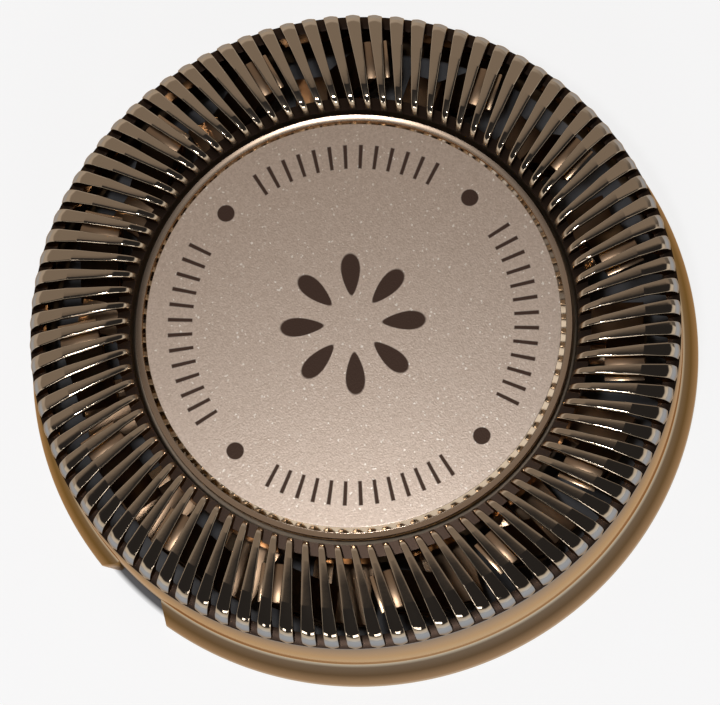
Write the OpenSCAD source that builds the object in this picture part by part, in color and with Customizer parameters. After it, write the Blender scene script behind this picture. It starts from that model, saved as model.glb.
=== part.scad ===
// Rotary shaver head: a slotted steel guard with a face plate in its middle, and the sprung
// ring of blades that turns against the inside of its track. Millimetres. The origin is the
// middle of the circle that the rim stands on, and +Z goes up along the cutter's axis.

/* [Guard] */
// Height from the rim's edge to the slotted track
guard_h = 5.2; // [5:0.1:7]
// Radius of the straight outer wall, which fits the shaver's holder
wall_r = 11.2; // [11.1:0.1:12.5]
// Thickness of the drawn steel
wall_t = 0.45; // [0.35:0.05:0.5]
// Thickness left under the track, which is thinned from inside
track_t = 0.15; // [0.1:0.01:0.25]
// Width of the margin and outer fold, from the flat track out to the wall
margin_w = 1.2; // [1:0.05:1.3]
// Width of the flat track
track_w = 1.55; // [1.4:0.05:1.8]
// Slope of the margin outside the flat track, in degrees
margin_slope = 16; // [5:1:25]
// Radius of the outer fold
outer_fold_r = 0.6; // [0.4:0.05:0.8]
// Radius of the inner fold
inner_fold_r = 0.75; // [0.5:0.05:0.9]
// Depth of the central recess below the track
recess_depth = 1.25; // [1.1:0.05:1.4]

/* [Slots] */
// Number of hair slots
slot_count = 90; // [60:1:100]
// Width of a slot
slot_w = 0.32; // [0.15:0.01:0.4]
// Depth of the slots below the track where they leave the recess wall
slot_depth = 0.55; // [0.4:0.05:0.8]
// Slope of the slots' bottom, down towards the outer wall, in degrees
slot_slope = 6.4; // [0:0.2:8]
// Distance at which the slots' centre lines pass the axis
slot_offset = 1.8; // [0:0.1:3]
// How far a slot runs into the recess wall
slot_run_in = 0.07; // [0.02:0.01:0.2]

/* [Rim] */
// How far the flared rim stands out from the wall
flare_w = 0.5; // [0.3:0.05:0.8]
// Height of the flare
rim_h = 1.5; // [0.8:0.05:1.8]
// Height of the rim's upright edge
rim_edge_h = 0.15; // [0.1:0.05:0.4]
// Reach of each locating notch at the wall, on the side of its long flank
notch_long_side = 1.15; // [0.5:0.05:2]
// Reach of each locating notch at the wall, on the side of its short flank
notch_short_side = 0.85; // [0.5:0.05:2]
// How much wider the notch's long flank makes it at the rim
notch_long_flank = 1; // [0.3:0.1:2]
// How much wider the notch's short flank makes it at the rim
notch_short_flank = 0.55; // [0.2:0.05:1.5]

/* [Face plate and plug] */
// Depth of the plate's face below the track
plate_drop = 0.35; // [0.2:0.05:0.5]
// Thickness of the face plate
plate_t = 0.42; // [0.3:0.02:0.5]
// Width of the plate's bevelled edge
plate_bevel_w = 0.35; // [0.1:0.05:0.5]
// Height of the plate's bevelled edge
plate_bevel_h = 0.22; // [0.1:0.02:0.28]
// Gap between the plate and the recess wall
plate_gap = 0.2; // [0.1:0.05:0.5]
// Radius of the plug's stem
stem_r = 2; // [1.8:0.1:2.3]
// Gap round the stem in the guard's centre hole
stem_gap = 0.05; // [0.02:0.01:0.1]
// Length of the stem below the recess floor
stem_drop = 0.8; // [0.7:0.05:0.9]
// How far the plug's barbs reach past the stem
barb_reach = 0.3; // [0.15:0.05:0.5]

/* [Cutter] */
// Number of blades
blade_count = 15; // [9:1:15]
// Thickness of the cutter's steel
blade_t = 0.3; // [0.2:0.02:0.36]
// Height of the blades, from the underside of their ring to their tips
blade_h = 3.3; // [3:0.1:3.4]
// Lean of the blades from upright, in degrees
blade_lean = 28; // [10:1:32]
// Gap between the blades and the inner wall of the groove that they run in
blade_side_gap = 0.45; // [0.15:0.05:0.6]
// Running gap between the blades' tips and the track
tip_gap = 0.05; // [0.03:0.01:0.1]
// Width of the arm that carries a blade
arm_w = 1.4; // [1:0.1:1.6]
// Thickness of the lifters' spring steel
lifter_t = 0.15; // [0.1:0.01:0.2]
// Gap between a blade and the lifter in front of it
lifter_gap = 0.2; // [0.1:0.05:0.3]
// How far a lifter's tip stands below the blade's
lifter_drop = 0.08; // [0.05:0.01:0.3]
// Turn of the cutter about the axis at rest, in degrees
cutter_turn = -6; // [-12:0.5:12]

/* [Carrier] */
// Radius of the carrier's flange
flange_r = 5; // [4.8:0.1:5.6]
// Thickness of the carrier's flange
flange_t = 0.6; // [0.5:0.05:0.7]
// Height of the flange above the carrier's underside
flange_lift = 0.65; // [0.5:0.05:0.7]
// Radius of the carrier's hub
hub_r = 2.9; // [2.8:0.05:3]
// Radius of the spigot that the cutter turns on
spigot_r = 1; // [0.8:0.05:1.2]
// Running clearance round the spigot
spigot_gap = 0.05; // [0.02:0.01:0.08]
// Length of the drive socket, over its round ends
socket_l = 4.2; // [3.6:0.1:4.4]
// Width of the drive socket
socket_w = 2.2; // [1.8:0.1:2.6]
// Depth of the drive socket
socket_depth = 1.5; // [1:0.1:1.6]
// Radius of the pegs that hold both steel rings
peg_r = 0.45; // [0.35:0.05:0.5]

/* [Hidden] */

$fn = 96;
over = 1;           // how far a cutting tool reaches past what it cuts
fold_steps = 5;     // flats round each fold
joint_gap = 0.02;   // gap between two pieces of the cutter that only lie side by side

rim_r = wall_r + flare_w;
track_out_r = wall_r - margin_w;
track_in_r = track_out_r - track_w;
recess_r = track_in_r - inner_fold_r;
groove_in_r = recess_r + wall_t;
groove_out_r = wall_r - wall_t;
groove_z = guard_h - track_t;
groove_corner = 0.5;
floor_z = guard_h - recess_depth;
floor_t = wall_t - 0.05;
hole_r = stem_r + stem_gap;

plate_r = recess_r - plate_gap;
plate_z = guard_h - plate_drop - plate_t;
plug_inset = 0.15;  // how far the plug's flange stays inside the plate's edge
stem_z = floor_z - floor_t - stem_drop;
barb_z = floor_z - floor_t - stem_gap;
barb_h = 0.45;
bore_r = spigot_r + spigot_gap;
bore_top_gap = 0.1;
bore_roof = 0.3;

blade_in_r = groove_in_r + blade_side_gap;
blade_out_r = track_out_r - tip_gap;
tip_z = groove_z - tip_gap;
cutter_z = tip_z - blade_h;
lifter_z = cutter_z - lifter_t;
flange_z = lifter_z - flange_t;
carrier_z = flange_z - flange_lift;
ring_top_z = cutter_z + blade_t;
ring_inset = 1.7;   // how far inside the blades the ring's own edge lies
ring_out_r = blade_in_r - ring_inset;
arm_root = 0.5;     // how far an arm starts inside the ring's edge
arm_inset = 0.1;    // how far an arm ends short of its blade's outer edge
bend = 0.05;        // how far inside its arm's steel a blade's foot starts
peg_ring_r = (hub_r + flange_r) / 2;
peg_count = 3;
head_r = peg_r + 0.25;
head_h = 0.25;
hub_top_z = ring_top_z + 0.3;
spigot_z = plate_z - bore_roof - bore_top_gap;

// Points of an arc about [x, z], from one angle to another.
function arc(x, z, r, from, to, steps) =
    [for (i = [0 : steps]) let (a = from + (to - from) * i / steps) [x + r * cos(a), z + r * sin(a)]];

// Half of the guard's section. The outer fold's centre is where an arc that touches the wall
// also touches the margin's slope.
module guard_section() {
    fold_x = wall_r - outer_fold_r;
    fold_z = guard_h - outer_fold_r / cos(margin_slope) - tan(margin_slope) * (fold_x - track_out_r);
    fillet = 0.15;
    polygon(concat(
        [[hole_r, floor_z], [recess_r - fillet, floor_z], [recess_r, floor_z + fillet]],
        arc(track_in_r, guard_h - inner_fold_r, inner_fold_r, 180, 90, fold_steps),
        [[track_out_r, guard_h]],
        arc(fold_x, fold_z, outer_fold_r, 90 - margin_slope, 0, fold_steps),
        [[wall_r, rim_h], [rim_r, rim_edge_h], [rim_r, 0], [rim_r - wall_t, 0]],
        [[groove_out_r, rim_h], [groove_out_r, groove_z - groove_corner]],
        [[groove_out_r - groove_corner, groove_z], [groove_in_r, groove_z]],
        [[groove_in_r, floor_z - floor_t], [hole_r, floor_z - floor_t]]
    ));
}

// One straight slot, cut from above. It passes the axis at slot_offset, which slants it.
module slot_cut() {
    start = sqrt(pow(recess_r - slot_run_in, 2) - pow(slot_offset, 2));
    length = wall_r + over - start;
    translate([start, -slot_offset + slot_w / 2, guard_h])
        rotate([90, 0, 0])
            linear_extrude(slot_w)
                polygon([
                    [0, -slot_depth], [length, -slot_depth - length * tan(slot_slope)],
                    [length, over], [0, over]
                ]);
}

// One notch through the flare, on the -Y side, with a long flank and a short one.
module notch_cut() {
    long = notch_long_side;
    short = notch_short_side;
    reach = (rim_r + over - wall_r) / (rim_r - wall_r);
    translate([0, 0, -over])
        linear_extrude(rim_h + over)
            polygon([
                [-long, -groove_out_r + over], [-long, -wall_r],
                [-long - notch_long_flank * reach, -rim_r - over],
                [short + notch_short_flank * reach, -rim_r - over],
                [short, -wall_r], [short, -groove_out_r + over]
            ]);
}

module guard() {
    color("#8f8172")
        difference() {
            rotate_extrude() guard_section();
            for (i = [0 : slot_count - 1]) rotate([0, 0, i * 360 / slot_count]) slot_cut();
            for (a = [0, 180]) rotate([0, 0, a]) notch_cut();
        }
}

// The thin disc that shows in the middle of the guard.
module face_plate() {
    color("#b9a797")
        translate([0, 0, plate_z]) {
            cylinder(r = plate_r, h = plate_t - plate_bevel_h);
            translate([0, 0, plate_t - plate_bevel_h])
                cylinder(r1 = plate_r, r2 = plate_r - plate_bevel_w, h = plate_bevel_h);
        }
}

// The plug that carries the face plate, snaps through the guard and centres the cutter.
module bearing_plug() {
    color("#3a3734")
        difference() {
            union() {
                translate([0, 0, floor_z]) cylinder(r = plate_r - plug_inset, h = plate_z - floor_z);
                translate([0, 0, stem_z]) cylinder(r = stem_r, h = floor_z - stem_z);
                intersection() {
                    translate([0, 0, barb_z - barb_h])
                        cylinder(r1 = stem_r, r2 = stem_r + barb_reach, h = barb_h);
                    for (a = [0, 90])
                        rotate([0, 0, a])
                            translate([0, 0, barb_z - barb_h / 2])
                                cube([3 * stem_r, stem_r, barb_h], center = true);
                }
            }
            translate([0, 0, stem_z - over])
                cylinder(r = bore_r, h = plate_z - bore_roof - stem_z + over);
        }
}

// A leaning blade: a plate that rises from the ring's level to its tip and leans forward,
// towards -Y, between two radii. foot is where its front face starts.
module leaning_plate(foot, t, low, high, r_in, r_out) {
    lean = (high - low) * tan(blade_lean);
    w = t / cos(blade_lean);
    translate([r_in, 0, 0])
        rotate([90, 0, 90])
            linear_extrude(r_out - r_in)
                polygon([[foot, low], [foot + w, low], [foot + w - lean, high], [foot - lean, high]]);
}

// The flat of a steel ring: a disc with arms, a hole for the hub and holes for the pegs.
module flat_ring(r, t, arm_front, arm_wide) {
    linear_extrude(t)
        difference() {
            union() {
                circle(r = r);
                for (i = [0 : blade_count - 1])
                    rotate(i * 360 / blade_count)
                        translate([r - arm_root, arm_front])
                            square([blade_out_r - arm_inset - r + arm_root, arm_wide]);
            }
            circle(r = hub_r + joint_gap);
            for (i = [0 : peg_count - 1])
                rotate(i * 360 / peg_count)
                    translate([peg_ring_r, 0])
                        circle(r = peg_r + joint_gap);
        }
}

// The stamped ring: flat arms whose front edges are bent up into blades.
module cutter_ring() {
    color("#b5b2ac") {
        translate([0, 0, cutter_z]) flat_ring(ring_out_r, blade_t, 0, arm_w);
        for (i = [0 : blade_count - 1])
            rotate([0, 0, i * 360 / blade_count])
                leaning_plate(bend, blade_t, cutter_z + bend, tip_z, blade_in_r, blade_out_r);
    }
}

// The spring steel ring: narrow sprung arms that end in a lifter in front of each blade.
module lifter_ring() {
    foot = -lifter_gap - lifter_t / cos(blade_lean);
    arm = arm_w / 2;
    color("#9a958c") {
        translate([0, 0, lifter_z]) flat_ring(flange_r, lifter_t, foot - arm / 2, arm);
        for (i = [0 : blade_count - 1])
            rotate([0, 0, i * 360 / blade_count])
                leaning_plate(foot, lifter_t, lifter_z + bend, tip_z - lifter_drop,
                              blade_in_r, blade_out_r);
    }
}

// The moulded hub: a flange under the rings, three staked pegs through them, the spigot that
// turns in the plug, and the long socket that the shaver's drive spindle enters from below.
module drive_carrier() {
    color("#2b2d30")
        difference() {
            union() {
                translate([0, 0, carrier_z]) cylinder(r = hub_r, h = hub_top_z - carrier_z);
                translate([0, 0, flange_z]) cylinder(r = flange_r, h = flange_t);
                translate([0, 0, hub_top_z]) cylinder(r = spigot_r, h = spigot_z - hub_top_z);
                for (i = [0 : peg_count - 1])
                    rotate([0, 0, i * 360 / peg_count])
                        translate([peg_ring_r, 0, 0]) {
                            translate([0, 0, flange_z]) cylinder(r = peg_r, h = ring_top_z - flange_z);
                            translate([0, 0, ring_top_z]) cylinder(r1 = head_r, r2 = peg_r, h = head_h);
                        }
            }
            translate([0, 0, carrier_z - over]) drive_socket();
        }
}

// The socket's solid: a bar with round ends.
module drive_socket() {
    straight = socket_l - socket_w;
    translate([-straight / 2, -socket_w / 2, 0]) cube([straight, socket_w, socket_depth + over]);
    for (x = [-straight / 2, straight / 2])
        translate([x, 0, 0]) cylinder(d = socket_w, h = socket_depth + over);
}

guard();
face_plate();
bearing_plug();
rotate([0, 0, cutter_turn]) {
    cutter_ring();
    lifter_ring();
    drive_carrier();
}
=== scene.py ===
import math

import bmesh
import bpy
import numpy as np
from mathutils import Matrix, Vector


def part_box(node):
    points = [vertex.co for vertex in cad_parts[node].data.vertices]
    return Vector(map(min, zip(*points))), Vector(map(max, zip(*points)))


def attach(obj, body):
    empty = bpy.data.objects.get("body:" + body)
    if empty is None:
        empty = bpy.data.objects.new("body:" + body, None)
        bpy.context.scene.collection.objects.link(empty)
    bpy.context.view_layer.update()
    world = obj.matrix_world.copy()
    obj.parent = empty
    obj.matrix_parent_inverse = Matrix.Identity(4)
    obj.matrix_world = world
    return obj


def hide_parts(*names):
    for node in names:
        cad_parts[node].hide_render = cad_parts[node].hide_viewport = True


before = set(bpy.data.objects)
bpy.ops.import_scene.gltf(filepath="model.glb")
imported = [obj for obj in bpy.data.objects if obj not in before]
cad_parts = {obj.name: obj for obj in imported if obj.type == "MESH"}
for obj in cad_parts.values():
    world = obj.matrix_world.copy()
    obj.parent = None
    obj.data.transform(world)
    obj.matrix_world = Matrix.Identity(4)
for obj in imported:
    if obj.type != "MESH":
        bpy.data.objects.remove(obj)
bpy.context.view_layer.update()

MM = 0.001

# The guard, in millimetres. The rim stands on z 0 and the axis is z.
GUARD_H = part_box("guard")[1].z / MM
WALL_R = 11.2
WALL_T = 0.45
TRACK_T = 0.15
TRACK_IN_R = 8.45
TRACK_OUT_R = 10.0
MARGIN_SLOPE = math.radians(16)
OUTER_FOLD_R = 0.6
INNER_FOLD_R = 0.5
INNER_SLOPE = math.radians(10)
RECESS_R = 7.7
FLOOR_Z = GUARD_H - 1.25
FLOOR_T = 0.4
HOLE_R = 2.05
GROOVE_IN_R = RECESS_R + WALL_T
GROOVE_OUT_R = WALL_R - WALL_T
GROOVE_Z = GUARD_H - TRACK_T
GROOVE_CORNER = 0.5

# The slots: straight cuts that pass the axis at SLOT_OFFSET, so that the bars between them slant.
# They are a little wider at the recess than at the outer wall.
SLOTS = 90
SLOT_IN_W = 0.33
SLOT_OUT_W = 0.27
SLOT_OFFSET = 1.8
SLOT_DEPTH = 0.55
SLOT_START_R = RECESS_R - 0.07
SLOT_SLOPE = math.radians(6.4)
BAR_EDGE = 0.05
TRACK_CROWN, FOLD_CROWN = 0.002, 0.03

# The flared rim and its two notches.
RIM_R = 11.7
RIM_H = 1.5
RIM_EDGE_H = 0.15
NOTCH_LONG_SIDE = 1.15
NOTCH_SHORT_SIDE = 0.85
NOTCH_LONG_FLANK = 1
NOTCH_SHORT_FLANK = 0.55

# The face plate.
PLATE_R = RECESS_R - 0.2
PLATE_TOP_Z = GUARD_H - 0.35
PLATE_T = 0.42
PLATE_FACE_R = PLATE_R - 0.38
PLATE_STEP_W = 0.17
PLATE_STEP_H = 0.16
PLATE_LIP_RISE = 0.045

# The photograph's view: degrees off the axis, direction of the camera, roll, millimetres.
VIEW_TILT = 15.09
VIEW_AZIMUTH = -29.99
VIEW_ROLL = 18.1
VIEW_DISTANCE = 180
VIEW_SHIFT_X = -0.27
VIEW_SHIFT_Y = 1.07
VIEW_LENS = 263.75
SENSOR_WIDTH = 36

# The wall's colours by height, mostly painted light: a painted highlight on the rim's lower edge,
# the flare, a painted band of shade on it, a painted highlight at the wall's foot, the golden wall
# and a cooler painted reflection on the outer ends of the bars.
WALL_PAINTED_LIGHT_BANDS = (
    (0.05, "#FFF2DC"), (0.25, "#BC9A78"), (0.8, "#74604C"), (1.3, "#887868"), (1.55, "#FFF4DC"),
    (2.6, "#EAD0B0"), (3.4, "#D0BCA8"), (4.1, "#B4A89C"), (4.24, "#AEB4BC"), (4.9, "#B8B8B8"),
)

# The plate's grit, coarsened to show, and its print: four arcs of ticks, dots between, petals.
GRIT = 0.06
TICKS, TICK_R, TICK_L, TICK_W = 72, 5.95, 0.85, 0.13
TICK_GROUPS, DOT_R = 4, 0.3
PETALS, PETAL_R, PETAL_L, PETAL_W = 8, 1.75, 1.5, 0.62

# How much of the floor's white is its own, where the camera or a mirror sees it
FLOOR_GLOW, MIRROR_GLOW = 0.82, 0.5
# Inside this radius the floor has no glow: painted shade under the head, with a soft edge this wide.
PAINTED_SHADE_R, PAINTED_SHADE_EDGE = 11.5, 0.2

# How far past the vertical, away from the camera, the room's dark half begins, in degrees
DARK_EDGE = 14.5
# How far the room's palest side stands to the left of the direction away from the camera
PALE_TURN = 27


def linear(hex_colour):
    """An sRGB hex colour as linear RGBA."""
    parts = [int(hex_colour[i:i + 2], 16) / 255 for i in (1, 3, 5)]
    return tuple(c / 12.92 if c <= 0.04045 else ((c + 0.055) / 1.055) ** 2.4 for c in parts) + (1.0,)


# Shapes

def mesh_object(name, points, faces, smooth_angle=35, slots=None):
    """An object from points in millimetres and a list or array of faces, with its doubles merged.
    slots gives each face's material."""
    mesh = bpy.data.meshes.new(name)
    mesh.from_pydata((np.asarray(points) * MM).tolist(), [], [list(face) for face in faces])
    if slots is not None:
        mesh.polygons.foreach_set("material_index", np.asarray(slots, dtype=np.int32))
    work = bmesh.new()
    work.from_mesh(mesh)
    bmesh.ops.remove_doubles(work, verts=work.verts, dist=1e-7)
    bmesh.ops.recalc_face_normals(work, faces=work.faces)
    work.to_mesh(mesh)
    work.free()
    mesh.shade_smooth()
    mesh.set_sharp_from_angle(angle=math.radians(smooth_angle))
    place = np.array([v.co for v in mesh.vertices]) / MM
    crease = (np.abs(np.hypot(place[:, 0], place[:, 1]) - TRACK_OUT_R) < 0.045) & (place[:, 2] > GUARD_H - 0.1)
    for edge in mesh.edges:
        if crease[edge.vertices[0]] and crease[edge.vertices[1]]:
            edge.use_edge_sharp = True
    made = bpy.data.objects.new(name, mesh)
    bpy.context.collection.objects.link(made)
    return made


def grid_faces(rows, columns, close_rows=False, close_columns=True):
    """The quads of a grid of points that is stored row by row."""
    i = np.arange(rows if close_rows else rows - 1)[:, None]
    j = np.arange(columns if close_columns else columns - 1)[None, :]
    down, right = (i + 1) % rows, (j + 1) % columns
    quads = [i * columns + j, down * columns + j, down * columns + right, i * columns + right]
    return np.stack(np.broadcast_arrays(*quads), axis=-1).reshape(-1, 4)


def rounded(corners, steps=6):
    """A closed outline from corners (x, z, radius). Each corner with a radius becomes an arc that
    leaves its two sides at radius / tan(half the angle) from the corner."""
    pts = []
    count = len(corners)
    for k, (x, z, r) in enumerate(corners):
        here = np.array([x, z])
        if r == 0:
            pts.append(here)
            continue
        before = np.array(corners[k - 1][:2]) - here
        after = np.array(corners[(k + 1) % count][:2]) - here
        before, after = before / np.linalg.norm(before), after / np.linalg.norm(after)
        half = math.acos(np.clip(before @ after, -1, 1)) / 2
        middle = before + after
        centre = here + middle / np.linalg.norm(middle) * r / math.sin(half)
        start, end = here + before * r / math.tan(half) - centre, here + after * r / math.tan(half) - centre
        turn = math.atan2(start[0] * end[1] - start[1] * end[0], start @ end)
        for s in np.linspace(0, turn, steps):
            c, d = math.cos(s), math.sin(s)
            pts.append(centre + np.array([c * start[0] - d * start[1], d * start[0] + c * start[1]]))
    return np.array(pts)


def revolved(outline, steps=360):
    """Points and faces of a closed outline of (radius, z) turned about the axis."""
    turn = np.linspace(0, 2 * np.pi, steps, endpoint=False)[:, None]
    r, z = outline[:, 0][None, :], outline[:, 1][None, :]
    points = np.stack([r * np.cos(turn), r * np.sin(turn), z + 0 * turn], axis=-1).reshape(-1, 3)
    return points, grid_faces(steps, len(outline), close_rows=True)


def slot_foot(r):
    """Height of the slots' bottom at a radius. It slopes down along each slot, towards the wall."""
    start, here = (math.sqrt(x * x - SLOT_OFFSET ** 2) for x in (SLOT_START_R, r))
    return GUARD_H - SLOT_DEPTH - (here - start) * math.tan(SLOT_SLOPE)


def bar_section():
    """The bars' outer and inner lines, matched point by point, from the recess wall over the
    track to the outer wall. The outer fold's arc touches the margin's slope and the wall."""
    fold_x = WALL_R - OUTER_FOLD_R
    fold_z = (GUARD_H - OUTER_FOLD_R / math.cos(MARGIN_SLOPE)
              - math.tan(MARGIN_SLOPE) * (fold_x - TRACK_OUT_R))
    inner_turn = np.linspace(np.pi, np.pi / 2 + INNER_SLOPE, 10)
    outer_turn = np.linspace(np.pi / 2 - MARGIN_SLOPE, 0, 12)
    inner_x = RECESS_R + INNER_FOLD_R
    inner_z = (GUARD_H - INNER_FOLD_R / math.cos(INNER_SLOPE)
               - math.tan(INNER_SLOPE) * (TRACK_IN_R - inner_x))
    knee, crease = 0.04, 0.1
    outer = np.concatenate([
        [[RECESS_R, slot_foot(RECESS_R)]],
        np.stack([inner_x + INNER_FOLD_R * np.cos(inner_turn),
                  inner_z + INNER_FOLD_R * np.sin(inner_turn)], axis=1),
        [[TRACK_IN_R - knee, GUARD_H - knee * math.tan(INNER_SLOPE)],
         [TRACK_IN_R, GUARD_H - 0.002], [TRACK_IN_R + knee, GUARD_H],
         [9.2, GUARD_H], [9.6, GUARD_H], [TRACK_OUT_R - crease, GUARD_H],
         [TRACK_OUT_R, GUARD_H],
         [TRACK_OUT_R + crease, GUARD_H - crease * math.tan(MARGIN_SLOPE)]],
        np.stack([fold_x + OUTER_FOLD_R * np.cos(outer_turn),
                  fold_z + OUTER_FOLD_R * np.sin(outer_turn)], axis=1),
        [[WALL_R, slot_foot(WALL_R)]],
    ])
    keys = [0, 1, 7, 12, 14, 18, 19, 26, 30, len(outer) - 1]
    low_in, low_out = slot_foot(GROOVE_IN_R), slot_foot(GROOVE_OUT_R)
    inner_keys = np.array([
        [GROOVE_IN_R, low_in], [GROOVE_IN_R, low_in + 0.05], [GROOVE_IN_R, GROOVE_Z - 0.08],
        [TRACK_IN_R, GROOVE_Z], [9.2, GROOVE_Z], [TRACK_OUT_R + 0.1, GROOVE_Z],
        [GROOVE_OUT_R - GROOVE_CORNER, GROOVE_Z], [GROOVE_OUT_R - 0.05, GROOVE_Z - GROOVE_CORNER + 0.05],
        [GROOVE_OUT_R, low_out + 0.06], [GROOVE_OUT_R, low_out],
    ])
    at = np.arange(len(outer))
    inner = np.stack([np.interp(at, keys, inner_keys[:, c]) for c in (0, 1)], axis=1)
    return outer, inner


def bar_points():
    """The first bar's points, station by station. Across a bar, a point is given by the side it
    is measured from, its distance from that side and its depth below the outer line. A side at
    radius R stands at asin(offset / R) from its slot's own direction."""
    outer, inner = bar_section()
    quarter = np.linspace(0, np.pi / 2, 5)
    edge_y, edge_depth = BAR_EDGE * (1 - np.cos(quarter)), BAR_EDGE * (1 - np.sin(quarter))
    crown_share = np.array([0.15, 0.33, 0.5, 0.67, 0.85])
    crown_side = 0.15 + 0.7 * crown_share
    side = np.concatenate([[0] * 6, crown_side, [1] * 6])
    y = np.concatenate([[0], edge_y, 0 * crown_side, edge_y[::-1], [0]])
    depth = np.concatenate([[9], edge_depth, 0 * crown_side, edge_depth[::-1], [9]])
    fall = np.concatenate([[1] * 6, (2 * crown_share - 1) ** 2, [1] * 6])
    crown = np.interp(outer[:, 0], (TRACK_OUT_R, WALL_R - OUTER_FOLD_R), (TRACK_CROWN, FOLD_CROWN))
    span = np.linalg.norm(inner - outer, axis=1)[:, None]
    share = np.minimum((depth[None, :] + crown[:, None] * fall[None, :]) / span, 1)
    place = outer[:, None, :] + (inner - outer)[:, None, :] * share[..., None]
    r, z = place[..., 0], place[..., 1]
    half = np.interp(r, (RECESS_R, WALL_R), (SLOT_IN_W / 2, SLOT_OUT_W / 2))
    first = np.arcsin((-SLOT_OFFSET + half) / r) + y[None, :] / r
    last = 2 * np.pi / SLOTS + np.arcsin((-SLOT_OFFSET - half) / r) - y[None, :] / r
    turn = first * (1 - side) + last * side
    return r, turn, z


def bars():
    """Points and faces of every bar: the first one turned by each slot's angle, with closed ends.
    The third value marks the faces that the slots' cutting left."""
    r, turn, z = bar_points()
    stations, around = r.shape
    slot = np.arange(SLOTS)[:, None, None] * 2 * np.pi / SLOTS
    points = np.stack([r * np.cos(turn + slot), r * np.sin(turn + slot), z + 0 * slot], axis=-1)
    one = grid_faces(stations, around)
    ends = [list(range(around)), list(range((stations - 1) * around, stations * around))]
    faces = []
    for k in range(SLOTS):
        base = k * stations * around
        faces += (one + base).tolist() + [[base + i for i in end] for end in ends]
    sides = np.isin(np.arange(len(one)) % around, (0, around - 2))
    cut = np.tile(np.concatenate([sides, [True, True]]), SLOTS)
    return points.reshape(-1, 3), faces, cut


def joined(name, parts, smooth_angle=35):
    """One object of several closed shells, each given as points, faces and a mark for each cut
    face, which takes the second material."""
    points, faces, marks, base = [], [], [], 0
    for part_points, part_faces, cut in parts:
        points.append(part_points)
        faces += [[base + i for i in face] for face in part_faces]
        marks.append(cut)
        base += len(part_points)
    return mesh_object(name, np.concatenate(points), faces, smooth_angle, np.concatenate(marks))


def apply_modifiers(piece):
    """The piece's mesh as its modifiers leave it, with none left on it."""
    graph = bpy.context.evaluated_depsgraph_get()
    finished = bpy.data.meshes.new_from_object(piece.evaluated_get(graph))
    old = piece.data
    piece.modifiers.clear()
    piece.data = finished
    bpy.data.meshes.remove(old)


def notch_prism():
    """The solid that a notch takes away on the -Y side, with softly rounded flanks."""
    long, short, over = NOTCH_LONG_SIDE, NOTCH_SHORT_SIDE, 1.0
    reach = (RIM_R + over - WALL_R) / (RIM_R - WALL_R)
    outline = rounded([
        (-long, -GROOVE_OUT_R + over, 0), (-long, -WALL_R, 0.35),
        (-long - NOTCH_LONG_FLANK * reach, -RIM_R - over, 0),
        (short + NOTCH_SHORT_FLANK * reach, -RIM_R - over, 0),
        (short, -WALL_R, 0.2), (short, -GROOVE_OUT_R + over, 0),
    ], 7)
    count = len(outline)
    points = np.concatenate([np.column_stack([outline, np.full(count, z)]) for z in (-over, RIM_H)])
    faces = grid_faces(2, count).tolist() + [list(range(count)), list(range(count, 2 * count))]
    return points, faces


def outer_wall():
    """Points and faces of the wall below the slots, with its flare, rounded rim and two notches."""
    outline = rounded([
        (WALL_R, slot_foot(WALL_R), 0), (WALL_R, RIM_H, 0.18), (RIM_R, RIM_EDGE_H, 0.07), (RIM_R, 0, 0.05),
        (RIM_R - WALL_T, 0, 0.05), (GROOVE_OUT_R, RIM_H, 0.3),
        (GROOVE_OUT_R, slot_foot(GROOVE_OUT_R), 0),
    ])
    wall = mesh_object("wall", *revolved(outline))
    cutters = []
    for turn in (0, math.pi):
        points, faces = notch_prism()
        cutter = mesh_object("cutter", points, faces)
        cutter.data.transform(Matrix.Rotation(turn, 4, "Z"))
        cut = wall.modifiers.new("notch", "BOOLEAN")
        cut.operation, cut.solver, cut.object = "DIFFERENCE", "EXACT", cutter
        cutters.append(cutter)
    edge = wall.modifiers.new("edges", "BEVEL")
    edge.width, edge.segments, edge.limit_method = 0.03 * MM, 2, "ANGLE"
    edge.angle_limit = math.radians(38)
    apply_modifiers(wall)
    points = np.array([v.co for v in wall.data.vertices]) / MM
    faces = [list(p.vertices) for p in wall.data.polygons]
    for made in [wall] + cutters:
        bpy.data.objects.remove(made)
    return points, faces, ledges(points, faces)


def ledges(points, faces):
    """Marks the faces that lie in the slots' bottom: all their corners are at its height."""
    radius = np.hypot(points[:, 0], points[:, 1])
    foot = np.array([slot_foot(max(r, SLOT_START_R)) for r in radius])
    low = np.abs(points[:, 2] - foot) < 0.01
    return np.array([low[list(face)].all() for face in faces])


def recess_well():
    """Points and faces of the central recess: its wall, floor and centre hole."""
    points, faces = revolved(rounded([
        (RECESS_R, slot_foot(RECESS_R), 0), (RECESS_R, FLOOR_Z, 0.15), (HOLE_R, FLOOR_Z, 0.05),
        (HOLE_R, FLOOR_Z - FLOOR_T, 0.03), (GROOVE_IN_R, FLOOR_Z - FLOOR_T, 0.15),
        (GROOVE_IN_R, slot_foot(GROOVE_IN_R), 0),
    ]))
    return points, faces, ledges(points, faces)


def softened(node, name, width):
    """A copy of a CAD node, with its doubles merged, its flats joined and its edges rounded."""
    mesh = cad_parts[node].data.copy()
    work = bmesh.new()
    work.from_mesh(mesh)
    bmesh.ops.remove_doubles(work, verts=work.verts, dist=1e-6)
    flat = math.radians(1)
    bmesh.ops.dissolve_limit(work, angle_limit=flat, verts=work.verts, edges=work.edges)
    work.to_mesh(mesh)
    work.free()
    made = bpy.data.objects.new(name, mesh)
    bpy.context.collection.objects.link(made)
    edge = made.modifiers.new("edges", "BEVEL")
    edge.width, edge.segments, edge.limit_method = width * MM, 2, "ANGLE"
    edge.angle_limit = math.radians(30)
    apply_modifiers(made)
    made.data.shade_smooth()
    made.data.set_sharp_from_angle(angle=math.radians(35))
    return made


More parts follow.
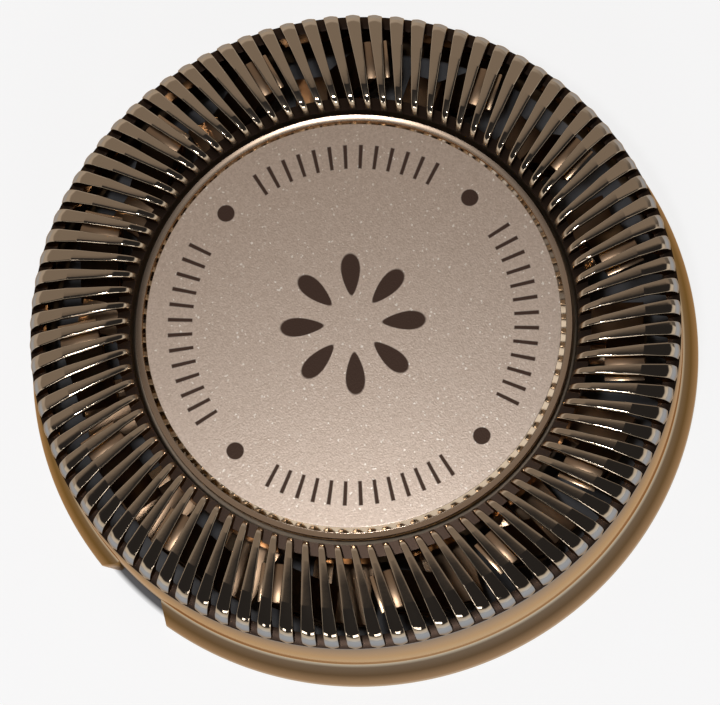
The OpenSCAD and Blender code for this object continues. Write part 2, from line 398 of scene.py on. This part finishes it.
def plate_disc():
    """The face plate: a disc whose face drops by a small chamfer to a narrow hollow margin, which
    rises again to the edge along an arc that starts level."""
    low, margin_z = PLATE_TOP_Z - PLATE_T, PLATE_TOP_Z - PLATE_STEP_H
    foot_r = PLATE_FACE_R + PLATE_STEP_W
    lip = [(foot_r + (PLATE_R - foot_r) * t, margin_z + PLATE_LIP_RISE * (0.3 * t + 0.7 * t * t), 0)
           for t in (0.95, 0.72, 0.48, 0.24)]
    outline = rounded([
        (0, low, 0), (PLATE_R, low, 0.04), (PLATE_R, margin_z + 0.6 * PLATE_LIP_RISE, 0.015)] + lip + [
        (foot_r, margin_z, 0.02), (PLATE_FACE_R, PLATE_TOP_Z, 0.025), (0, PLATE_TOP_Z, 0),
    ])
    turn = np.linspace(0, 2 * np.pi, 360, endpoint=False)[:, None]
    r, z = outline[:, 0][None, :], outline[:, 1][None, :]
    points = np.stack([r * np.cos(turn), r * np.sin(turn), z + 0 * turn], axis=-1).reshape(-1, 3)
    return points, grid_faces(360, len(outline), close_rows=True, close_columns=False)


# Materials

def add(tree, kind, links=None, **settings):
    """A node with its settings, and links into it given as {input: (node, output)}."""
    made = tree.nodes.new(kind)
    for key, value in settings.items():
        if hasattr(made, key):
            setattr(made, key, value)
        else:
            made.inputs[key.replace("_", " ")].default_value = value
    for key, (source, output) in (links or {}).items():
        tree.links.new(source.outputs[output], made.inputs[key])
    return made


def finish_material(name, colour, metallic, roughness):
    """A new material with one Principled shader, its tree and its object coordinates."""
    made = bpy.data.materials.new(name)
    made.use_nodes = True
    tree = made.node_tree
    tree.nodes.clear()
    shader = add(tree, "ShaderNodeBsdfPrincipled", Metallic=metallic, Roughness=roughness)
    shader.inputs["Specular Tint"].default_value = linear("#E8C8A4") if metallic else linear("#FFFFFF")
    shader.inputs["Base Color"].default_value = linear(colour)
    add(tree, "ShaderNodeOutputMaterial", {"Surface": (shader, "BSDF")})
    place = add(tree, "ShaderNodeTexCoord")
    return made, tree, shader, place


def window(tree, value, low, high, soft):
    """1 where a node's value lies between two limits, with edges that are soft wide."""
    rise = add(tree, "ShaderNodeMapRange", {"Value": value}, interpolation_type="SMOOTHSTEP")
    fall = add(tree, "ShaderNodeMapRange", {"Value": value}, interpolation_type="SMOOTHSTEP")
    for step, edge, sign in ((rise, low, 1), (fall, high, -1)):
        step.inputs["From Min"].default_value = edge - sign * soft / 2
        step.inputs["From Max"].default_value = edge + sign * soft / 2
    return add(tree, "ShaderNodeMath", {0: (rise, "Result"), 1: (fall, "Result")}, operation="MULTIPLY")


def polar(tree, place):
    """Distance from the axis in millimetres and the angle round it, from object coordinates."""
    parts = add(tree, "ShaderNodeSeparateXYZ", {"Vector": (place, "Object")})
    flat = add(tree, "ShaderNodeCombineXYZ", {"X": (parts, "X"), "Y": (parts, "Y")})
    metres = add(tree, "ShaderNodeVectorMath", {"Vector": (flat, "Vector")}, operation="LENGTH")
    radius = add(tree, "ShaderNodeMath", {0: (metres, "Value")}, operation="DIVIDE")
    radius.inputs[1].default_value = MM
    angle = add(tree, "ShaderNodeMath", {0: (parts, "Y"), 1: (parts, "X")}, operation="ARCTAN2")
    return (radius, "Value"), (angle, "Value"), (parts, "Z")


def repeat(tree, angle, count, at_r):
    """Distance round the circle from the nearest of count even marks, in millimetres at at_r."""
    turns = add(tree, "ShaderNodeMath", {0: angle}, operation="MULTIPLY")
    turns.inputs[1].default_value = count / (2 * math.pi)
    share = add(tree, "ShaderNodeMath", {0: (turns, "Value")}, operation="PINGPONG")
    share.inputs[1].default_value = 0.5
    arc = add(tree, "ShaderNodeMath", {0: (share, "Value")}, operation="MULTIPLY")
    arc.inputs[1].default_value = 2 * math.pi * at_r / count
    return arc, "Value"


def oval(tree, radius, across, at_r, length, width):
    """1 inside an oval mark at radius at_r, of a half length along the radius and a half width."""
    along = add(tree, "ShaderNodeMath", {0: radius}, operation="SUBTRACT")
    along.inputs[1].default_value = at_r
    flat = add(tree, "ShaderNodeCombineXYZ", {"X": (along, "Value"), "Y": across})
    sized = add(tree, "ShaderNodeVectorMath", {0: (flat, "Vector")}, operation="DIVIDE")
    sized.inputs[1].default_value = (length, width, 1)
    reach = add(tree, "ShaderNodeVectorMath", {0: (sized, "Vector")}, operation="LENGTH")
    return window(tree, (reach, "Value"), -1, 1, 0.12)


def plate_print(tree, radius, angle):
    """The printed marks: four arcs of fine ticks with a dot between each two, and eight petals."""
    soft = 0.04
    tick = window(tree, repeat(tree, angle, TICKS, TICK_R), -1, TICK_W / 2, soft)
    band = window(tree, radius, TICK_R - TICK_L / 2, TICK_R + TICK_L / 2, soft)
    group = repeat(tree, angle, TICK_GROUPS, TICK_R)
    reach = math.pi * TICK_R / TICK_GROUPS
    spread = window(tree, group, 0.24 * reach, 2 * reach, soft)
    ticks = add(tree, "ShaderNodeMath", {0: (tick, "Value"), 1: (band, "Value")}, operation="MULTIPLY")
    ticks = add(tree, "ShaderNodeMath", {0: (ticks, "Value"), 1: (spread, "Value")}, operation="MULTIPLY")
    dots = oval(tree, radius, group, TICK_R, DOT_R, DOT_R)
    petals = oval(tree, radius, repeat(tree, angle, PETALS, PETAL_R), PETAL_R, PETAL_L / 2, PETAL_W / 2)
    marks = add(tree, "ShaderNodeMath", {0: (ticks, "Value"), 1: (dots, "Value")}, operation="MAXIMUM")
    return add(tree, "ShaderNodeMath", {0: (marks, "Value"), 1: (petals, "Value")}, operation="MAXIMUM")


def mixed(tree, factor, first, second):
    """A mix of two colours, each a hex value or a node's output. Gives the mix's output."""
    mix = add(tree, "ShaderNodeMixRGB", {"Fac": factor})
    for socket, colour in (("Color1", first), ("Color2", second)):
        if isinstance(colour, str):
            mix.inputs[socket].default_value = linear(colour)
        else:
            tree.links.new(colour[0].outputs[colour[1]], mix.inputs[socket])
    return mix, "Color"


def polished_steel():
    """Drawn stainless steel, polished: mirror-like on the bars, with fine rub marks, and duller in the
    recess. Down the outer wall its colour changes by height, mostly as painted highlights, painted
    shade and a painted reflection."""
    made, tree, shader, place = finish_material("polished drawn steel", "#BBAA96", 1.0, 0.1)
    radius, angle, height = polar(tree, place)
    # Beyond this radius the wall's colour goes by height: painted highlights, painted shade and a painted
    # reflection, with the wall's golden tone.
    painted_wall_mask = window(tree, radius, 11.03, 100, 0.15)
    inside = window(tree, radius, 0, 7.83, 0.2)
    level = add(tree, "ShaderNodeMapRange", {"Value": height})
    level.inputs["From Max"].default_value = GUARD_H * MM
    painted_light_bands = add(tree, "ShaderNodeValToRGB", {"Fac": (level, "Result")})
    first, last = painted_light_bands.color_ramp.elements
    first.color, last.color = linear("#A98256"), linear("#BBAA96")
    for at, shade in WALL_PAINTED_LIGHT_BANDS:
        painted_light_bands.color_ramp.elements.new(at / GUARD_H).color = linear(shade)
    tint = mixed(tree, (painted_wall_mask, "Value"), "#BBAA96", (painted_light_bands, "Color"))
    tree.links.new(tint[0].outputs[tint[1]], shader.inputs["Base Color"])
    cloud = add(tree, "ShaderNodeTexNoise", {"Vector": (place, "Object")}, Scale=900.0, Detail=3.0)
    span = add(tree, "ShaderNodeMapRange", {"Value": (cloud, "Fac")}, To_Min=0.05, To_Max=0.1)
    dull = add(tree, "ShaderNodeMapRange", {"Value": (inside, "Value")}, To_Max=0.3)
    rough = add(tree, "ShaderNodeMath", {0: (span, "Result"), 1: (dull, "Result")}, operation="ADD")
    tree.links.new(rough.outputs["Value"], shader.inputs["Roughness"])
    rub = add(tree, "ShaderNodeTexNoise", {"Vector": (place, "Object")}, Scale=9000.0, Detail=2.0)
    bump = add(tree, "ShaderNodeBump", {"Height": (rub, "Fac")}, Strength=0.1, Distance=4e-6)
    tree.links.new(bump.outputs["Normal"], shader.inputs["Normal"])
    return made


def anodised_plate():
    """Champagne anodised aluminium, bead blasted: a satin face whose grit carries painted highlights,
    and a bevel that was cut after blasting and is bright. Beyond it the hollow margin is painted
    darker as shade. The marks are a dark brown print."""
    made, tree, shader, place = finish_material("champagne anodised aluminium", "#DCC9BA", 1.0, 0.4)
    radius, angle, height = polar(tree, place)
    grit = add(tree, "ShaderNodeTexVoronoi", {"Vector": (place, "Object")}, Scale=1 / (GRIT * MM))
    shine = add(tree, "ShaderNodeSeparateColor", {"Color": (grit, "Color")})
    # Painted highlights: the brightest grit cells are painted near white.
    painted_glint = window(tree, (shine, "Red"), 0.985, 2, 0.03)
    face = mixed(tree, (shine, "Green"), "#D0BDAE", "#E0CEC0")
    face = mixed(tree, (painted_glint, "Value"), face, "#FFF6EC")
    ink = plate_print(tree, radius, angle)
    face = mixed(tree, (ink, "Value"), face, "#43322E")
    cut = window(tree, radius, PLATE_FACE_R, 2 * PLATE_R, 0.04)
    lip = window(tree, radius, PLATE_FACE_R + PLATE_STEP_W, 2 * PLATE_R, 0.04)
    face = mixed(tree, (cut, "Value"), face, "#E0CDB8")
    # The hollow margin is painted darker, as shade.
    face = mixed(tree, (lip, "Value"), face, "#B8A28E")
    tree.links.new(face[0].outputs[face[1]], shader.inputs["Base Color"])
    rough = add(tree, "ShaderNodeMapRange", {"Value": (cut, "Value")}, To_Min=0.42, To_Max=0.1)
    worn = add(tree, "ShaderNodeMapRange", {"Value": (lip, "Value")}, To_Max=0.16)
    rough = add(tree, "ShaderNodeMath", {0: (rough, "Result"), 1: (worn, "Result")}, operation="ADD")
    tree.links.new(rough.outputs["Value"], shader.inputs["Roughness"])
    bare = add(tree, "ShaderNodeMapRange", {"Value": (ink, "Value")}, To_Min=1.0, To_Max=0.2)
    tree.links.new(bare.outputs["Result"], shader.inputs["Metallic"])
    grain = add(tree, "ShaderNodeTexNoise", {"Vector": (place, "Object")}, Scale=1 / (GRIT * MM), Detail=2.0)
    matt = add(tree, "ShaderNodeMapRange", {"Value": (cut, "Value")}, To_Min=0.55, To_Max=0.02)
    bump = add(tree, "ShaderNodeBump", {"Height": (grain, "Fac"), "Strength": (matt, "Result")},
               Distance=1e-5)
    tree.links.new(bump.outputs["Normal"], shader.inputs["Normal"])
    return made


def rubbed(tree, place, scale, strength, distance, shader):
    """A fine uneven relief of one grain size, on the shader's normal."""
    grain = add(tree, "ShaderNodeTexNoise", {"Vector": (place, "Object")}, Scale=scale, Detail=2.0)
    bump = add(tree, "ShaderNodeBump", {"Height": (grain, "Fac")}, Strength=strength, Distance=distance)
    tree.links.new(bump.outputs["Normal"], shader.inputs["Normal"])
    return grain


def cut_steel_and_shade():
    """The slots' sides and bottoms: steel cut by sparks, dull and browned, painted darker as shade."""
    made, tree, shader, place = finish_material("spark-cut steel and painted shade", "#3E322B", 1.0, 0.4)
    rubbed(tree, place, 12000.0, 0.3, 6e-6, shader)
    return made


def ground_steel():
    """Ground cutter steel: bright, with a fine grain across the blades."""
    made, tree, shader, place = finish_material("ground cutter steel", "#9A8068", 1.0, 0.32)
    rubbed(tree, place, 6000.0, 0.2, 4e-6, shader)
    return made


def spring_steel():
    """Rolled spring steel: brighter than the cutter, so that its edges flash beside the blades."""
    made, tree, shader, place = finish_material("rolled spring steel", "#B89C80", 1.0, 0.25)
    rubbed(tree, place, 4000.0, 0.15, 4e-6, shader)
    return made


def moulded_acetal(name, colour):
    """Moulded acetal: matt, with the faint grain of its mould."""
    made, tree, shader, place = finish_material(name, colour, 0.0, 0.45)
    rubbed(tree, place, 5000.0, 0.2, 8e-6, shader)
    return made


def floor_paper():
    """White paper. It reaches white where the camera or a mirror sees it, and keeps its shadow. Under
    the head it has no glow, which is painted shade.
    """
    made, tree, shader, place = finish_material("white paper", "#77777A", 0.0, 0.9)
    path = add(tree, "ShaderNodeLightPath")
    radius, angle, height = polar(tree, place)
    mirror = add(tree, "ShaderNodeMath", {0: (path, "Is Glossy Ray"), 1: (path, "Is Transmission Ray")},
                 operation="MAXIMUM")
    # No glow under the head: painted shade.
    clear = add(tree, "ShaderNodeMapRange", {"Value": radius})
    clear.inputs["From Min"].default_value = PAINTED_SHADE_R - PAINTED_SHADE_EDGE
    clear.inputs["From Max"].default_value = PAINTED_SHADE_R
    glows = []
    for seen, most in (((path, "Is Camera Ray"), FLOOR_GLOW), ((mirror, "Value"), MIRROR_GLOW)):
        strength = add(tree, "ShaderNodeMath", {0: seen}, operation="MULTIPLY")
        strength.inputs[1].default_value = most
        glows.append(add(tree, "ShaderNodeMath", {0: (strength, "Value"), 1: (clear, "Result")},
                         operation="MULTIPLY"))
    glow = add(tree, "ShaderNodeMath", {0: (glows[0], "Value"), 1: (glows[1], "Value")}, operation="ADD")
    shader.inputs["Emission Color"].default_value = linear("#FFFFFF")
    tree.links.new(glow.outputs["Value"], shader.inputs["Emission Strength"])
    return made


# The object

def dress(piece, material, body, slot, *nodes):
    """Gives a new piece its material and its body, and hides the CAD nodes it stands for. Clearing an
    empty list would still reset the faces' material marks."""
    if piece.data.materials:
        piece.data.materials.clear()
    piece.data.materials.append(material)
    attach(piece, body)
    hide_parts(*nodes)


def make_camera():
    """The photograph's camera: VIEW_TILT off the axis, rolled, aimed past the track's middle."""
    tilt, turn, roll = (math.radians(a) for a in (VIEW_TILT, VIEW_AZIMUTH, VIEW_ROLL))
    back = Vector((math.sin(tilt) * math.cos(turn), math.sin(tilt) * math.sin(turn), math.cos(tilt)))
    right = Vector((0, 0, 1)).cross(back).normalized()
    up = back.cross(right)
    across = right * math.cos(roll) - up * math.sin(roll)
    above = right * math.sin(roll) + up * math.cos(roll)
    target = Vector((0, 0, GUARD_H))
    place = target - across * VIEW_SHIFT_X - above * VIEW_SHIFT_Y + back * VIEW_DISTANCE
    camera = bpy.data.objects.new("camera", bpy.data.cameras.new("camera"))
    bpy.context.collection.objects.link(camera)
    camera.matrix_world = Matrix.Translation(place * MM) @ Matrix((across, above, back)).transposed().to_4x4()
    camera.data.lens, camera.data.sensor_width = VIEW_LENS, SENSOR_WIDTH
    camera.data.clip_start, camera.data.clip_end = 0.01, 10
    bpy.context.scene.camera = camera


def soft_light(name, azimuth, elevation, distance, size, power, colour="#FFFFFF"):
    """An area light aimed at the head. Azimuth is measured like VIEW_AZIMUTH, distances in mm."""
    turn, lift = math.radians(azimuth), math.radians(elevation)
    back = Vector((math.cos(lift) * math.cos(turn), math.cos(lift) * math.sin(turn), math.sin(lift)))
    lamp = bpy.data.objects.new(name, bpy.data.lights.new(name, "AREA"))
    bpy.context.collection.objects.link(lamp)
    lamp.data.shape, lamp.data.size, lamp.data.size_y = "RECTANGLE", size[0] * MM, size[1] * MM
    lamp.data.energy, lamp.data.color = power, linear(colour)[:3]
    lamp.location = back * distance * MM
    lamp.rotation_mode = "QUATERNION"
    lamp.rotation_quaternion = (-back).to_track_quat("-Z", "Y")
    return lamp


def make_world():
    """A plain room: brown-grey, paler at its far and left horizon, with a dark half behind the
    camera that starts at a plane leaning DARK_EDGE past the vertical, seen from the head."""
    world = bpy.data.worlds.new("room")
    bpy.context.scene.world = world
    world.use_nodes = True
    tree = world.node_tree
    tree.nodes.clear()
    place = add(tree, "ShaderNodeTexCoord")
    shares = []
    for azimuth, lean, low, high in ((VIEW_AZIMUTH, DARK_EDGE, -0.05, 0.05),
                                     (VIEW_AZIMUTH + 180 + PALE_TURN, 0, -0.5, 1)):
        turn, rise = math.radians(azimuth), math.radians(lean)
        side = add(tree, "ShaderNodeVectorMath", {0: (place, "Generated")}, operation="DOT_PRODUCT")
        side.inputs[1].default_value = (math.cos(rise) * math.cos(turn),
                                        math.cos(rise) * math.sin(turn), math.sin(rise))
        share = add(tree, "ShaderNodeMapRange", {"Value": (side, "Value")},
                    interpolation_type="SMOOTHSTEP")
        share.inputs["From Min"].default_value = low
        share.inputs["From Max"].default_value = high
        shares.append((share, "Result"))
    dark, pale = shares
    horizon = mixed(tree, pale, "#66625F", "#D6CEC6")
    parts = add(tree, "ShaderNodeSeparateXYZ", {"Vector": (place, "Generated")})
    low = window(tree, (parts, "Z"), -2, 0.42, 0.2)
    high = window(tree, (parts, "Z"), 0.962, 2, 0.02)
    far = mixed(tree, (high, "Value"), "#A0968C", "#8E857D")
    far = mixed(tree, (low, "Value"), far, horizon)
    near = mixed(tree, (low, "Value"), "#343436", "#F2EEE6")
    room = mixed(tree, dark, far, near)
    shade = add(tree, "ShaderNodeBackground", {"Color": room}, Strength=1.0)
    add(tree, "ShaderNodeOutputWorld", {"Surface": (shade, "Background")})


def make_floor():
    """The white floor that the rim stands on."""
    half = 1500.0
    points = [(-half, -half, 0), (half, -half, 0), (half, half, 0), (-half, half, 0)]
    floor = mesh_object("floor", points, [(0, 1, 2, 3)])
    if floor.data.polygons[0].normal.z < 0:
        floor.data.flip_normals()
    floor.data.materials.append(floor_paper())


def make_head():
    """Every piece of the shaver head."""
    guard = joined("slotted_guard", [bars(), outer_wall(), recess_well()])
    dress(guard, polished_steel(), "guard_unit", "guard_steel", "guard")
    # The slots' cut faces take the second material: dull browned steel, also painted dark as shade.
    guard.data.materials.append(cut_steel_and_shade())
    plate = mesh_object("plate", *plate_disc())
    dress(plate, anodised_plate(), "guard_unit", "plate_aluminium", "face_plate")
    dress(softened("cutter_ring", "blades", 0.03), ground_steel(), "cutter_unit", "cutter_steel",
          "cutter_ring")
    dress(softened("lifter_ring", "lifters", 0.02), spring_steel(), "cutter_unit", "spring_steel",
          "lifter_ring")
    dress(softened("bearing_plug", "plug", 0.04), moulded_acetal("grey moulded acetal", "#4A4744"),
          "guard_unit", "plug_plastic", "bearing_plug")
    dress(softened("drive_carrier", "carrier", 0.06), moulded_acetal("black moulded acetal", "#2B2D30"),
          "cutter_unit", "carrier_plastic", "drive_carrier")


make_camera()
make_world()
make_floor()
make_head()
soft_light("lamp overhead", VIEW_AZIMUTH - 32, 79.7, 120, (10, 10), 0.034)
soft_light("near left softbox", VIEW_AZIMUTH - 43, 38, 100, (14, 18), 0.0044)
soft_light("near right softbox", VIEW_AZIMUTH - 11, 38, 100, (26, 20), 0.009)
bpy.context.scene.view_settings.view_transform = "Standard"
